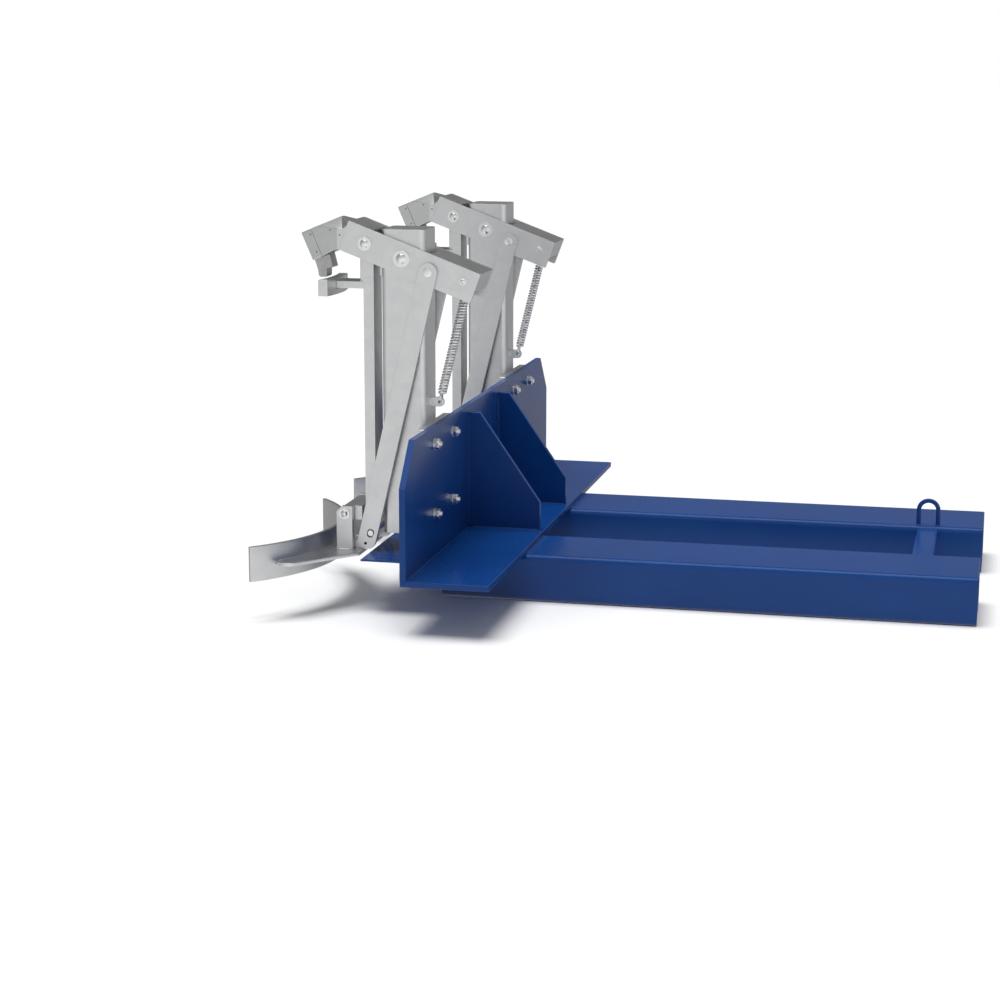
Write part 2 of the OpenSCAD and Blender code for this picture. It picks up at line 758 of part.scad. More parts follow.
module spring() {
    color(steel) translate([anchor[0], 0, anchor[1]]) rotate([0, spring_tilt, 0]) {
        coil();
        translate([0, 0, eye_r]) rotate([0, 90, 0]) rotate_extrude()
            translate([eye_r, 0]) circle(wire_r, $fn = 32);
        translate([0, 0, spring_len]) rotate([90, 0, 0]) rotate_extrude()
            translate([eye_r, 0]) circle(wire_r, $fn = 32);
    }
}

whole() translate([0, -pocket_spacing / 2, 0]) fork_pocket();  // left_fork_pocket
whole() translate([0, pocket_spacing / 2, 0]) fork_pocket();  // right_fork_pocket
whole() base_plate();
whole() bolt_plate();
whole() translate([0, -gusset_spacing / 2, 0]) gusset();  // left_gusset
whole() translate([0, gusset_spacing / 2, 0]) gusset();  // right_gusset
whole() front_shelf();
whole() cross_bar();
whole() chain_ring();
left_head() column();  // left_column
left_head() column_lugs();  // left_column_lugs
left_head() flange();  // left_flange
left_head() bolts();  // left_bolts
left_head() mirror([0, 1, 0]) cheek();  // left_outer_cheek
left_head() cheek();  // left_inner_cheek
left_head() beam_webs();  // left_beam_webs
left_head() beak();  // left_beak
left_head() tooth();  // left_tooth
left_head() hinge_pin();  // left_hinge_pin
left_head() nose_pin();  // left_nose_pin
left_head() link_pins();  // left_link_pins
left_head() spring_pin();  // left_spring_pin
left_head() front_bar();  // left_front_bar
left_head() jaw_arm();  // left_jaw_arm
left_head() jaw_pad();  // left_jaw_pad
left_head() cross_block();  // left_cross_block
left_head() mirror([0, 1, 0]) link();  // left_outer_link
left_head() link();  // left_inner_link
left_head() link_screws();  // left_link_screws
left_head() saddle_band();  // left_saddle_band
left_head() saddle_rib();  // left_saddle_rib
left_head() saddle_lugs();  // left_saddle_lugs
left_head() saddle_pins();  // left_saddle_pins
left_head() spring();  // left_spring
right_head() column();  // right_column
right_head() column_lugs();  // right_column_lugs
right_head() flange();  // right_flange
right_head() bolts();  // right_bolts
right_head() mirror([0, 1, 0]) cheek();  // right_outer_cheek
right_head() cheek();  // right_inner_cheek
right_head() beam_webs();  // right_beam_webs
right_head() beak();  // right_beak
right_head() tooth();  // right_tooth
right_head() hinge_pin();  // right_hinge_pin
right_head() nose_pin();  // right_nose_pin
right_head() link_pins();  // right_link_pins
right_head() spring_pin();  // right_spring_pin
right_head() front_bar();  // right_front_bar
right_head() jaw_arm();  // right_jaw_arm
right_head() jaw_pad();  // right_jaw_pad
right_head() cross_block();  // right_cross_block
right_head() mirror([0, 1, 0]) link();  // right_outer_link
right_head() link();  // right_inner_link
right_head() link_screws();  // right_link_screws
right_head() saddle_band();  // right_saddle_band
right_head() saddle_rib();  // right_saddle_rib
right_head() saddle_lugs();  // right_saddle_lugs
right_head() saddle_pins();  // right_saddle_pins
right_head() spring();  // right_spring
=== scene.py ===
import math

import bmesh
import bpy
from mathutils import Matrix, Vector


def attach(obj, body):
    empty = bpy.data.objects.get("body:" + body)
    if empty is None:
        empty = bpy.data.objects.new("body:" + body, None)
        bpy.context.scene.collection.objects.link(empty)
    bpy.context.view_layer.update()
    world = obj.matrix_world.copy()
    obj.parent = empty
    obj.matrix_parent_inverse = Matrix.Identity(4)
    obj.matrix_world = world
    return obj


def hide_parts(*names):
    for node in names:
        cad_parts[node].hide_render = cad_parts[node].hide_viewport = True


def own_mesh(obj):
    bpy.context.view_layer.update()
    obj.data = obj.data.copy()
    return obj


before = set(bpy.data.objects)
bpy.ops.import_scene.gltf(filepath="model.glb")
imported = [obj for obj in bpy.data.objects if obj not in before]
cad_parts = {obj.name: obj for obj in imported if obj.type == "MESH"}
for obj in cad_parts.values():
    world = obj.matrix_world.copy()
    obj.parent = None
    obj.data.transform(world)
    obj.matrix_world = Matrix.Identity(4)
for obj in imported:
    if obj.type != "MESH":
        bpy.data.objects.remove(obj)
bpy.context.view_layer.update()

# Camera. It looks across the clamp from its left side, 4 m away, a little from the rear and from
# above the beams, as the photograph was taken. Its focal length is 2.246 times the picture's width.
lens = bpy.data.cameras.new("camera")
lens.sensor_width = 36
lens.lens = 80.85
lens.clip_end = 200
camera = bpy.data.objects.new("camera", lens)
camera.matrix_world = (Matrix.Translation((0.62751, -3.96715, 0.95016))
    @ Matrix.Rotation(math.radians(12.902), 4, "Z")
    @ Matrix.Rotation(math.radians(90 - 11.565), 4, "X")
    @ Matrix.Rotation(math.radians(0.0975), 4, "Z"))
bpy.context.scene.collection.objects.link(camera)
bpy.context.scene.camera = camera
bpy.context.scene.view_settings.view_transform = "Standard"


# Studio. A white painted floor under a wide overhead light. Metal and paint mirror a room that is
# brightest low on the camera's side and darkest high on the far side. To the camera it is white.
def linear(code):
    """An sRGB hex colour as linear red, green, blue and alpha."""
    parts = [int(code[i:i + 2], 16) / 255 for i in (1, 3, 5)]
    return [p / 12.92 if p <= 0.04045 else ((p + 0.055) / 1.055) ** 2.4 for p in parts] + [1.0]


def node(tree, kind, inputs=None, ramp=None, **settings):
    """Adds a node, with its settings, its input values or links, and a ramp's stops."""
    made = tree.nodes.new(kind)
    for name, value in settings.items():
        setattr(made, name, value)
    for name, value in (inputs or {}).items():
        if isinstance(value, bpy.types.NodeSocket):
            tree.links.new(value, made.inputs[name])
        else:
            made.inputs[name].default_value = value
    for i, (place, colour) in enumerate(ramp or ()):
        stop = made.color_ramp.elements[i] if i < 2 else made.color_ramp.elements.new(place)
        stop.position, stop.color = place, colour
    return made


def grey(value):
    return [value, value, value, 1.0]


room = bpy.data.worlds.new("studio_room")
bpy.context.scene.world = room
room.use_nodes = True
tree = room.node_tree
tree.nodes.clear()
look = node(tree, "ShaderNodeTexCoord")
front = node(tree, "ShaderNodeVectorMath", {0: look.outputs["Generated"], 1: (0.33, -0.55, -0.77)},
    operation="DOT_PRODUCT")
walls = node(tree, "ShaderNodeValToRGB", {"Fac": node(tree, "ShaderNodeMapRange",
    {"Value": front.outputs["Value"], "From Min": -1.0, "From Max": 1.0}).outputs["Result"]},
    ramp=[(0.0, grey(0.13)), (1.0, grey(1.0)), (0.125, grey(0.17)), (0.35, grey(0.39)),
        (0.61, grey(0.62)), (0.8, grey(0.90))])
rays = node(tree, "ShaderNodeLightPath")
lit = node(tree, "ShaderNodeMix", {0: rays.outputs["Is Glossy Ray"], 6: grey(0.25),
    7: walls.outputs["Color"]}, data_type="RGBA")
seen = node(tree, "ShaderNodeMix", {0: rays.outputs["Is Camera Ray"], 6: lit.outputs[2],
    7: grey(1.0)}, data_type="RGBA")
node(tree, "ShaderNodeOutputWorld", {"Surface": node(tree, "ShaderNodeBackground",
    {"Color": seen.outputs[2]}).outputs["Background"]})

# The overhead light is two lamps in one place: a strong one that mirrors don't show, and a weaker
# one that they do, so that few flat faces turn white. One that mirrors it squarely still does.
for name, strength, mirrored in (("overhead_light", 1.8, False), ("overhead_glint", 1.1, True)):
    lamp = bpy.data.lights.new(name, "SUN")
    lamp.energy, lamp.angle = strength, math.radians(40)
    light = bpy.data.objects.new(name, lamp)
    light.rotation_euler = Vector((-0.1, 0.0, 1.0)).to_track_quat("Z", "Y").to_euler()
    light.visible_glossy = mirrored
    bpy.context.scene.collection.objects.link(light)

# A disc 80 m across, just below the pockets' undersides
floor_radius, floor_level, corners = 40, -0.0003, 64
floor_mesh = bpy.data.meshes.new("floor")
floor_mesh.from_pydata([(floor_radius * math.cos(a / corners * 2 * math.pi),
    floor_radius * math.sin(a / corners * 2 * math.pi), floor_level) for a in range(corners)],
    [], [list(range(corners))])
floor = bpy.data.objects.new("floor", floor_mesh)
bpy.context.scene.collection.objects.link(floor)
floor.visible_glossy = False
floor_paint = bpy.data.materials.new("white_floor_paint")
floor_paint.use_nodes = True
tree = floor_paint.node_tree
spot = node(tree, "ShaderNodeTexCoord").outputs["Object"]
mottle = node(tree, "ShaderNodeTexNoise", {"Vector": spot, "Scale": 2.5, "Detail": 4.0})
tree.nodes["Principled BSDF"].inputs["Roughness"].default_value = 0.8
tree.links.new(node(tree, "ShaderNodeValToRGB", {"Fac": mottle.outputs["Fac"]},
    ramp=[(0.3, grey(0.94)), (0.7, grey(0.96))]).outputs["Color"],
    tree.nodes["Principled BSDF"].inputs["Base Color"])
floor_mesh.materials.append(floor_paint)


# Fork pockets. Two rectangular steel tubes, 168 x 82 x 6 mm, cold formed with rounded edges, open
# at both ends, and sprayed with glossy blue enamel after welding.
def new_finish(name, roughness, metallic=0.0):
    """A material with its tree, its shader and where each point is in the clamp, in metres."""
    finish = bpy.data.materials.new(name)
    finish.use_nodes = True
    shader = finish.node_tree.nodes["Principled BSDF"]
    shader.inputs["Roughness"].default_value = roughness
    shader.inputs["Metallic"].default_value = metallic
    place = node(finish.node_tree, "ShaderNodeTexCoord").outputs["Object"]
    return finish, finish.node_tree, shader, place


def edge_mask(tree, flat_from=0.99):
    """From 0 on flat faces to 1 in a 2 mm band along edges: where handling rubs a finish, and on the
    enamel also a painted highlight.
    """
    band, wear_and_highlight_below = 0.002, 0.86
    round_edge = node(tree, "ShaderNodeBevel", {"Radius": band}, samples=6)
    flat = node(tree, "ShaderNodeNewGeometry")
    along = node(tree, "ShaderNodeVectorMath", {0: round_edge.outputs["Normal"],
        1: flat.outputs["Normal"]}, operation="DOT_PRODUCT")
    return node(tree, "ShaderNodeMapRange", {"Value": along.outputs["Value"],
        "From Min": flat_from, "From Max": wear_and_highlight_below}).outputs["Result"]


# Sprayed enamel: a deep blue gloss with a faint orange peel. It is paler along its edges, partly as
# thinner rubbed paint and partly as a painted highlight, and whole over the welds.
def enamel_coat(name, roughness, rubbed):
    finish, tree, shader, place = new_finish(name, roughness)
    shader.inputs["Specular IOR Level"].default_value = 0.22
    cloud = node(tree, "ShaderNodeTexNoise", {"Vector": place, "Scale": 1 / 0.16, "Detail": 3.0})
    colour = node(tree, "ShaderNodeValToRGB", {"Fac": cloud.outputs["Fac"]},
        ramp=[(0.3, linear("#113d80")), (0.7, linear("#144488"))]).outputs["Color"]
    # Paler edges: partly rubbed, thinner paint and partly a painted highlight.
    if rubbed:
        scuff = node(tree, "ShaderNodeTexNoise", {"Vector": place, "Scale": 1 / 0.02, "Detail": 5.0})
        wear_and_highlight = node(tree, "ShaderNodeMath", {0: edge_mask(tree), 1: scuff.outputs["Fac"]},
            operation="MULTIPLY")
        colour = node(tree, "ShaderNodeMix", {0: wear_and_highlight.outputs["Value"], 6: colour,
            7: linear("#22509a")}, data_type="RGBA").outputs[2]
    tree.links.new(colour, shader.inputs["Base Color"])
    tree.links.new(node(tree, "ShaderNodeMapRange", {"Value": cloud.outputs["Fac"],
        "From Min": 0.3, "From Max": 0.7, "To Min": roughness - 0.03, "To Max": roughness + 0.03}
        ).outputs["Result"], shader.inputs["Roughness"])
    peel = node(tree, "ShaderNodeTexNoise", {"Vector": place, "Scale": 1 / 0.004, "Detail": 1.0})
    tree.links.new(node(tree, "ShaderNodeBump", {"Height": peel.outputs["Fac"], "Strength": 0.15,
        "Distance": 0.00004}).outputs["Normal"], shader.inputs["Normal"])
    return finish


enamel = enamel_coat("sprayed_blue_enamel", 0.23, rubbed=True)
weld_enamel = enamel_coat("blue_enamel_on_weld", 0.4, rubbed=False)

# Edges. A solid's faces are joined and its flat ones made whole, then each edge sharper than
# corner_angle gets a small round, as a ground or painted edge has, and stays crisp beside it.
corner_angle = math.radians(38)
join_group = bpy.data.node_groups.new("joined_faces", "GeometryNodeTree")
join_group.interface.new_socket("Geometry", in_out="INPUT", socket_type="NodeSocketGeometry")
join_group.interface.new_socket("Geometry", in_out="OUTPUT", socket_type="NodeSocketGeometry")
joined = node(join_group, "GeometryNodeMergeByDistance",
    {"Geometry": node(join_group, "NodeGroupInput").outputs[0], "Distance": 0.000005})
plain = node(join_group, "GeometryNodeRemoveAttribute",
    {"Geometry": joined.outputs[0], "Name": "custom_normal"})
node(join_group, "NodeGroupOutput", {0: plain.outputs[0]})

smooth_group = bpy.data.node_groups.new("smooth_rounds", "GeometryNodeTree")
smooth_group.interface.new_socket("Geometry", in_out="INPUT", socket_type="NodeSocketGeometry")
smooth_group.interface.new_socket("Geometry", in_out="OUTPUT", socket_type="NodeSocketGeometry")
all_smooth = node(smooth_group, "GeometryNodeSetShadeSmooth",
    {"Geometry": node(smooth_group, "NodeGroupInput").outputs[0], "Shade Smooth": True})
gentle = node(smooth_group, "FunctionNodeCompare", {0: node(smooth_group,
    "GeometryNodeInputMeshEdgeAngle").outputs[0], 1: corner_angle}, operation="LESS_EQUAL")
node(smooth_group, "NodeGroupOutput", {0: node(smooth_group, "GeometryNodeSetShadeSmooth",
    {"Geometry": all_smooth.outputs[0], "Shade Smooth": gentle.outputs[0]},
    domain="EDGE").outputs[0]})


def dress(names, finish, edge):
    """Gives CAD pieces their finish, and their sharp edges a radius in metres."""
    for name in names:
        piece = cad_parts[name]
        piece.data.materials.clear()
        piece.data.materials.append(finish)
        piece.modifiers.new("joined", "NODES").node_group = join_group
        flat = piece.modifiers.new("flat", "DECIMATE")
        flat.decimate_type, flat.angle_limit = "DISSOLVE", math.radians(0.6)
        soft = piece.modifiers.new("soft_edges", "BEVEL")
        soft.width, soft.segments, soft.limit_method = edge, 3, "ANGLE"
        soft.angle_limit = corner_angle
        whole = piece.modifiers.new("whole_faces", "TRIANGULATE")
        whole.ngon_method, whole.min_vertices = "BEAUTY", 5
        piece.modifiers.new("smooth", "NODES").node_group = smooth_group
        piece.modifiers.new("even", "WEIGHTED_NORMAL").keep_sharp = True


dress(["left_fork_pocket", "right_fork_pocket"], enamel, 0.0012)


# Base frame. Steel plates 10 mm thick, flame cut and welded: the base plate across the pockets,
# the upright bolt plate on its front edge, two gussets behind that, and a 3 mm shelf in front.
def at(x, y, z):
    """A point in metres, from millimetres behind the axis of the head's curved pads, across and up."""
    origin_x = 792.1835
    return Vector(((x - origin_x) / 1000, y / 1000, z / 1000))


def add_piece(name, body, slot, finish, points, faces):
    """A piece of mesh that moves with a body, smooth but for its sharp corners."""
    mesh = bpy.data.meshes.new(name)
    mesh.from_pydata(points, [], faces)
    skin = bmesh.new()
    skin.from_mesh(mesh)
    bmesh.ops.recalc_face_normals(skin, faces=skin.faces)
    skin.to_mesh(mesh)
    skin.free()
    mesh.polygons.foreach_set("use_smooth", [True] * len(faces))
    mesh.set_sharp_from_angle(angle=corner_angle)
    mesh.materials.append(finish)
    piece = bpy.data.objects.new(name, mesh)
    bpy.context.scene.collection.objects.link(piece)
    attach(piece, body)
    return piece


def tube(rings):
    """The points of rings that have the same count, and the faces between them and on the ends."""
    sides = len(rings[0])
    points = [point for ring in rings for point in ring]
    faces = [(i * sides + j, i * sides + (j + 1) % sides, (i + 1) * sides + (j + 1) % sides,
        (i + 1) * sides + j) for i in range(len(rings) - 1) for j in range(sides)]
    return points, faces + [list(range(sides)), list(range(len(points) - sides, len(points)))]


# Fillet welds: hand-laid beads with a ripple every 2.6 mm, as the arc moved on, a slower swell
# every 17 mm and a tapered start and stop. A bead's middle is sunk in the corner that it fills.
# Each run is a list of points with the way the bead faces there.
def weld(name, body, slot, finish, runs, radius):
    ripple, swell, taper = 0.0026, 0.017, 0.005
    unevenness, sunk, bow = 0.05, 0.45, 0.35
    points, faces = [], []
    for run in runs:
        spots = [spot for spot, way in run]
        ways = [Vector(way).normalized() for spot, way in run]
        marks = [0.0]
        for a, b in zip(spots, spots[1:]):
            marks.append(marks[-1] + (b - a).length)
        count = max(6, round(marks[-1] / (ripple / 2)))
        rings, leg = [], 0
        for i in range(count + 1):
            gone = marks[-1] * i / count
            while leg < len(spots) - 2 and gone > marks[leg + 1]:
                leg += 1
            share = (gone - marks[leg]) / (marks[leg + 1] - marks[leg])
            out = ways[leg].lerp(ways[leg + 1], share).normalized()
            along = (spots[leg + 1] - spots[leg]).normalized()
            side = along.cross(out)
            end = min(1.0, 0.5 + min(gone, marks[-1] - gone) / taper)
            thick = radius * end * (1 + unevenness * math.sin(gone / ripple * 2 * math.pi)
                + unevenness * math.sin(gone / swell * 2 * math.pi))
            middle = spots[leg].lerp(spots[leg + 1], share) - out * radius * sunk
            rings.append([middle + (out * math.cos(a) + side * math.sin(a)) * thick
                - along * radius * bow * math.cos(a) for a in (j * math.pi / 5 for j in range(10))])
        more, skin = tube(rings)
        faces += [[len(points) + i for i in face] for face in skin]
        points += more
    return add_piece(name, body, slot, finish, points, faces)


dress(["base_plate", "bolt_plate", "left_gusset", "right_gusset"], enamel, 0.0012)
dress(["front_shelf"], enamel, 0.0006)

runs = [[(at(482, a, 92), (1, 0, 1)), (at(482, b, 92), (1, 0, 1))]
    for a, b in ((-553, -127), (-109, 109), (127, 553))]
for y, side in ((-123, -1), (-113, 1), (113, -1), (123, 1)):
    runs.append([(at(610, y, 92), (0, side, 1)), (at(487, y, 92), (0, side, 1))])
    runs.append([(at(482, y, 97), (1, side, 0)), (at(482, y, 297), (1, side, 0))])
for side in (-1, 1):
    runs.append([(at(620, side * 122, 82), (1, 0, 1)), (at(620, side * 273, 82), (1, 0, 1))])
weld("base_plate_welds", "frame", "blue_paint", weld_enamel, runs, 0.0022)
runs = [[(at(474, y, 80), (0, side, -0.6)), (at(618, y, 80), (0, side, -0.6))]
    for y, side in ((-279, -1), (-116, 1), (116, -1), (279, 1))]
weld("pocket_welds", "frame", "blue_paint", weld_enamel, runs, 0.005)

# Cross bar and chain ring. A flat bar welded between the pockets, and a ring bent from 8 mm round
# bar and welded on the right pocket, to take the hook of a securing chain.
dress(["cross_bar"], enamel, 0.001)
dress(["chain_ring"], enamel, 0.0003)
runs = [[(at(1269, side * 113.5, z), (0, -side, up)), (at(1303, side * 113.5, z), (0, -side, up))]
    for side in (-1, 1) for z, up in ((76, 1), (64, -1))]
for foot in (1268.5, 1303.5):
    turn = [(math.cos(a), math.sin(a)) for a in (i * math.pi / 10 for i in range(21))]
    runs.append([(at(foot + 4 * c, 131.5 + 4 * s, 82), (c, s, 1)) for c, s in turn])
weld("ring_welds", "frame", "blue_paint", weld_enamel, runs, 0.0025)

# Zinc: plates and bars are welded, then plated. The coat is a pale even grey with faint crystal
# patches about 14 mm wide, a satin sheen and brighter rubbed edges. It is duller on the welds. The
# beak has small round holes in its sides, whose shade is painted on as darker grey discs.
def zinc_coat(name, roughness, rubbed, holes=()):
    finish, tree, shader, place = new_finish(name, roughness, 1.0)
    crystal = node(tree, "ShaderNodeTexVoronoi", {"Vector": place, "Scale": 1 / 0.014})
    patch = node(tree, "ShaderNodeSeparateColor", {"Color": crystal.outputs["Color"]})
    colour = node(tree, "ShaderNodeValToRGB", {"Fac": patch.outputs[0]},
        ramp=[(0.0, linear("#d9dadb")), (1.0, linear("#dedfdf"))]).outputs["Color"]
    if rubbed:
        colour = node(tree, "ShaderNodeMix", {0: edge_mask(tree), 6: colour,
            7: linear("#e6e7e8")}, data_type="RGBA").outputs[2]
    # Each hole is a darker grey disc: painted shade inside the hole.
    for x, z in holes:
        flat = node(tree, "ShaderNodeVectorMath", {0: place, 1: (1, 0, 1)}, operation="MULTIPLY")
        away = node(tree, "ShaderNodeVectorMath", {0: flat.outputs["Vector"],
            1: tuple(at(x, 0, z))}, operation="DISTANCE")
        hole_shade = node(tree, "ShaderNodeMapRange", {"Value": away.outputs["Value"],
            "From Min": 0.0018, "From Max": 0.001}).outputs["Result"]
        colour = node(tree, "ShaderNodeMix", {0: hole_shade, 6: colour, 7: linear("#707070")},
            data_type="RGBA").outputs[2]
    tree.links.new(colour, shader.inputs["Base Color"])
    cloud = node(tree, "ShaderNodeTexNoise", {"Vector": place, "Scale": 1 / 0.03, "Detail": 5.0})
    tree.links.new(node(tree, "ShaderNodeMapRange", {"Value": cloud.outputs["Fac"], "From Min": 0.3,
        "From Max": 0.7, "To Min": roughness - 0.04, "To Max": roughness + 0.04}).outputs["Result"],
        shader.inputs["Roughness"])
    grain = node(tree, "ShaderNodeTexNoise", {"Vector": place, "Scale": 1 / 0.002, "Detail": 3.0})
    tree.links.new(node(tree, "ShaderNodeBump", {"Height": grain.outputs["Fac"], "Strength": 0.1,
        "Distance": 0.0001}).outputs["Normal"], shader.inputs["Normal"])
    return finish


zinc = zinc_coat("satin_zinc", 0.41, rubbed=True)
weld_zinc = zinc_coat("zinc_on_weld", 0.5, rubbed=False)
# The beak's zinc, with painted shade in its holes.
zinc_with_painted_hole_shade = zinc_coat("satin_zinc_with_painted_hole_shade", 0.43, rubbed=True,
    holes=((256.8, 628.6), (268.9, 600.1), (295.7, 638.0), (314.1, 630.5)))

# Bright zinc on turned and rolled fasteners: smoother and paler than the plates, with a slight
# cloud about 6 mm wide where the passivation dried.
bright, tree, shader, place = new_finish("bright_zinc_fastener", 0.32, 1.0)
cloud = node(tree, "ShaderNodeTexNoise", {"Vector": place, "Scale": 1 / 0.006, "Detail": 3.0})
tree.links.new(node(tree, "ShaderNodeValToRGB", {"Fac": cloud.outputs["Fac"]},
    ramp=[(0.3, linear("#eaeae9")), (0.7, linear("#f3f3f2"))]).outputs["Color"],
    shader.inputs["Base Color"])
tree.links.new(node(tree, "ShaderNodeMapRange", {"Value": cloud.outputs["Fac"], "From Min": 0.3,
    "From Max": 0.7, "To Min": 0.29, "To Max": 0.35}).outputs["Result"], shader.inputs["Roughness"])

# Forged tool steel: darker, with a scaly forged skin of dimples about 6 mm wide, and rubbed
# brighter along its edges.
tool_steel, tree, shader, place = new_finish("forged_tool_steel", 0.42, 1.0)
scale = node(tree, "ShaderNodeTexNoise", {"Vector": place, "Scale": 1 / 0.006, "Detail": 5.0})
skin_tone = node(tree, "ShaderNodeValToRGB", {"Fac": scale.outputs["Fac"]},
    ramp=[(0.3, linear("#acacab")), (0.7, linear("#bebebd"))])
rub = edge_mask(tree, flat_from=0.995)
edged = node(tree, "ShaderNodeMix", {0: rub, 6: skin_tone.outputs["Color"], 7: linear("#d0d0ce")},
    data_type="RGBA")
tree.links.new(edged.outputs[2], shader.inputs["Base Color"])
tree.links.new(node(tree, "ShaderNodeBump", {"Height": scale.outputs["Fac"], "Strength": 0.3,
    "Distance": 0.0004}).outputs["Normal"], shader.inputs["Normal"])

# Blackened socket screws: a thin dark oxide with a little oil on it.
black_oxide, tree, shader, place = new_finish("black_oxide", 0.4, 1.0)
blotch = node(tree, "ShaderNodeTexNoise", {"Vector": place, "Scale": 1 / 0.002, "Detail": 2.0})
tree.links.new(node(tree, "ShaderNodeValToRGB", {"Fac": blotch.outputs["Fac"]},
    ramp=[(0.3, linear("#2a2b2c")), (0.7, linear("#3c3d3e"))]).outputs["Color"],
    shader.inputs["Base Color"])

# Spring wire: hard drawn and zinc plated, with a fine mottle in its colour and gloss.
spring_wire, tree, shader, place = new_finish("plated_spring_wire", 0.3, 1.0)
mottle = node(tree, "ShaderNodeTexNoise", {"Vector": place, "Scale": 1 / 0.0012, "Detail": 2.0})
tree.links.new(node(tree, "ShaderNodeValToRGB", {"Fac": mottle.outputs["Fac"]},
    ramp=[(0.3, linear("#e6e6e6")), (0.7, linear("#f2f2f2"))]).outputs["Color"],
    shader.inputs["Base Color"])
tree.links.new(node(tree, "ShaderNodeMapRange", {"Value": mottle.outputs["Fac"], "From Min": 0.3,
    "From Max": 0.7, "To Min": 0.25, "To Max": 0.4}).outputs["Result"], shader.inputs["Roughness"])

# Heads. Two alike, side by side on the bolt plate. A beam slopes down to the rear, and its hinge
# is 107 mm from its front end.
tilt = math.radians(20.5)
hinge_x, hinge_z, hinge_along = 422.5, 593.5, 107


def on_beam(along, up):
    """A point of a beam's side view, from its front end and its middle line, in millimetres."""
    return (hinge_x + (along - hinge_along) * math.cos(tilt) + up * math.sin(tilt),
        hinge_z + up * math.cos(tilt) - (along - hinge_along) * math.sin(tilt))


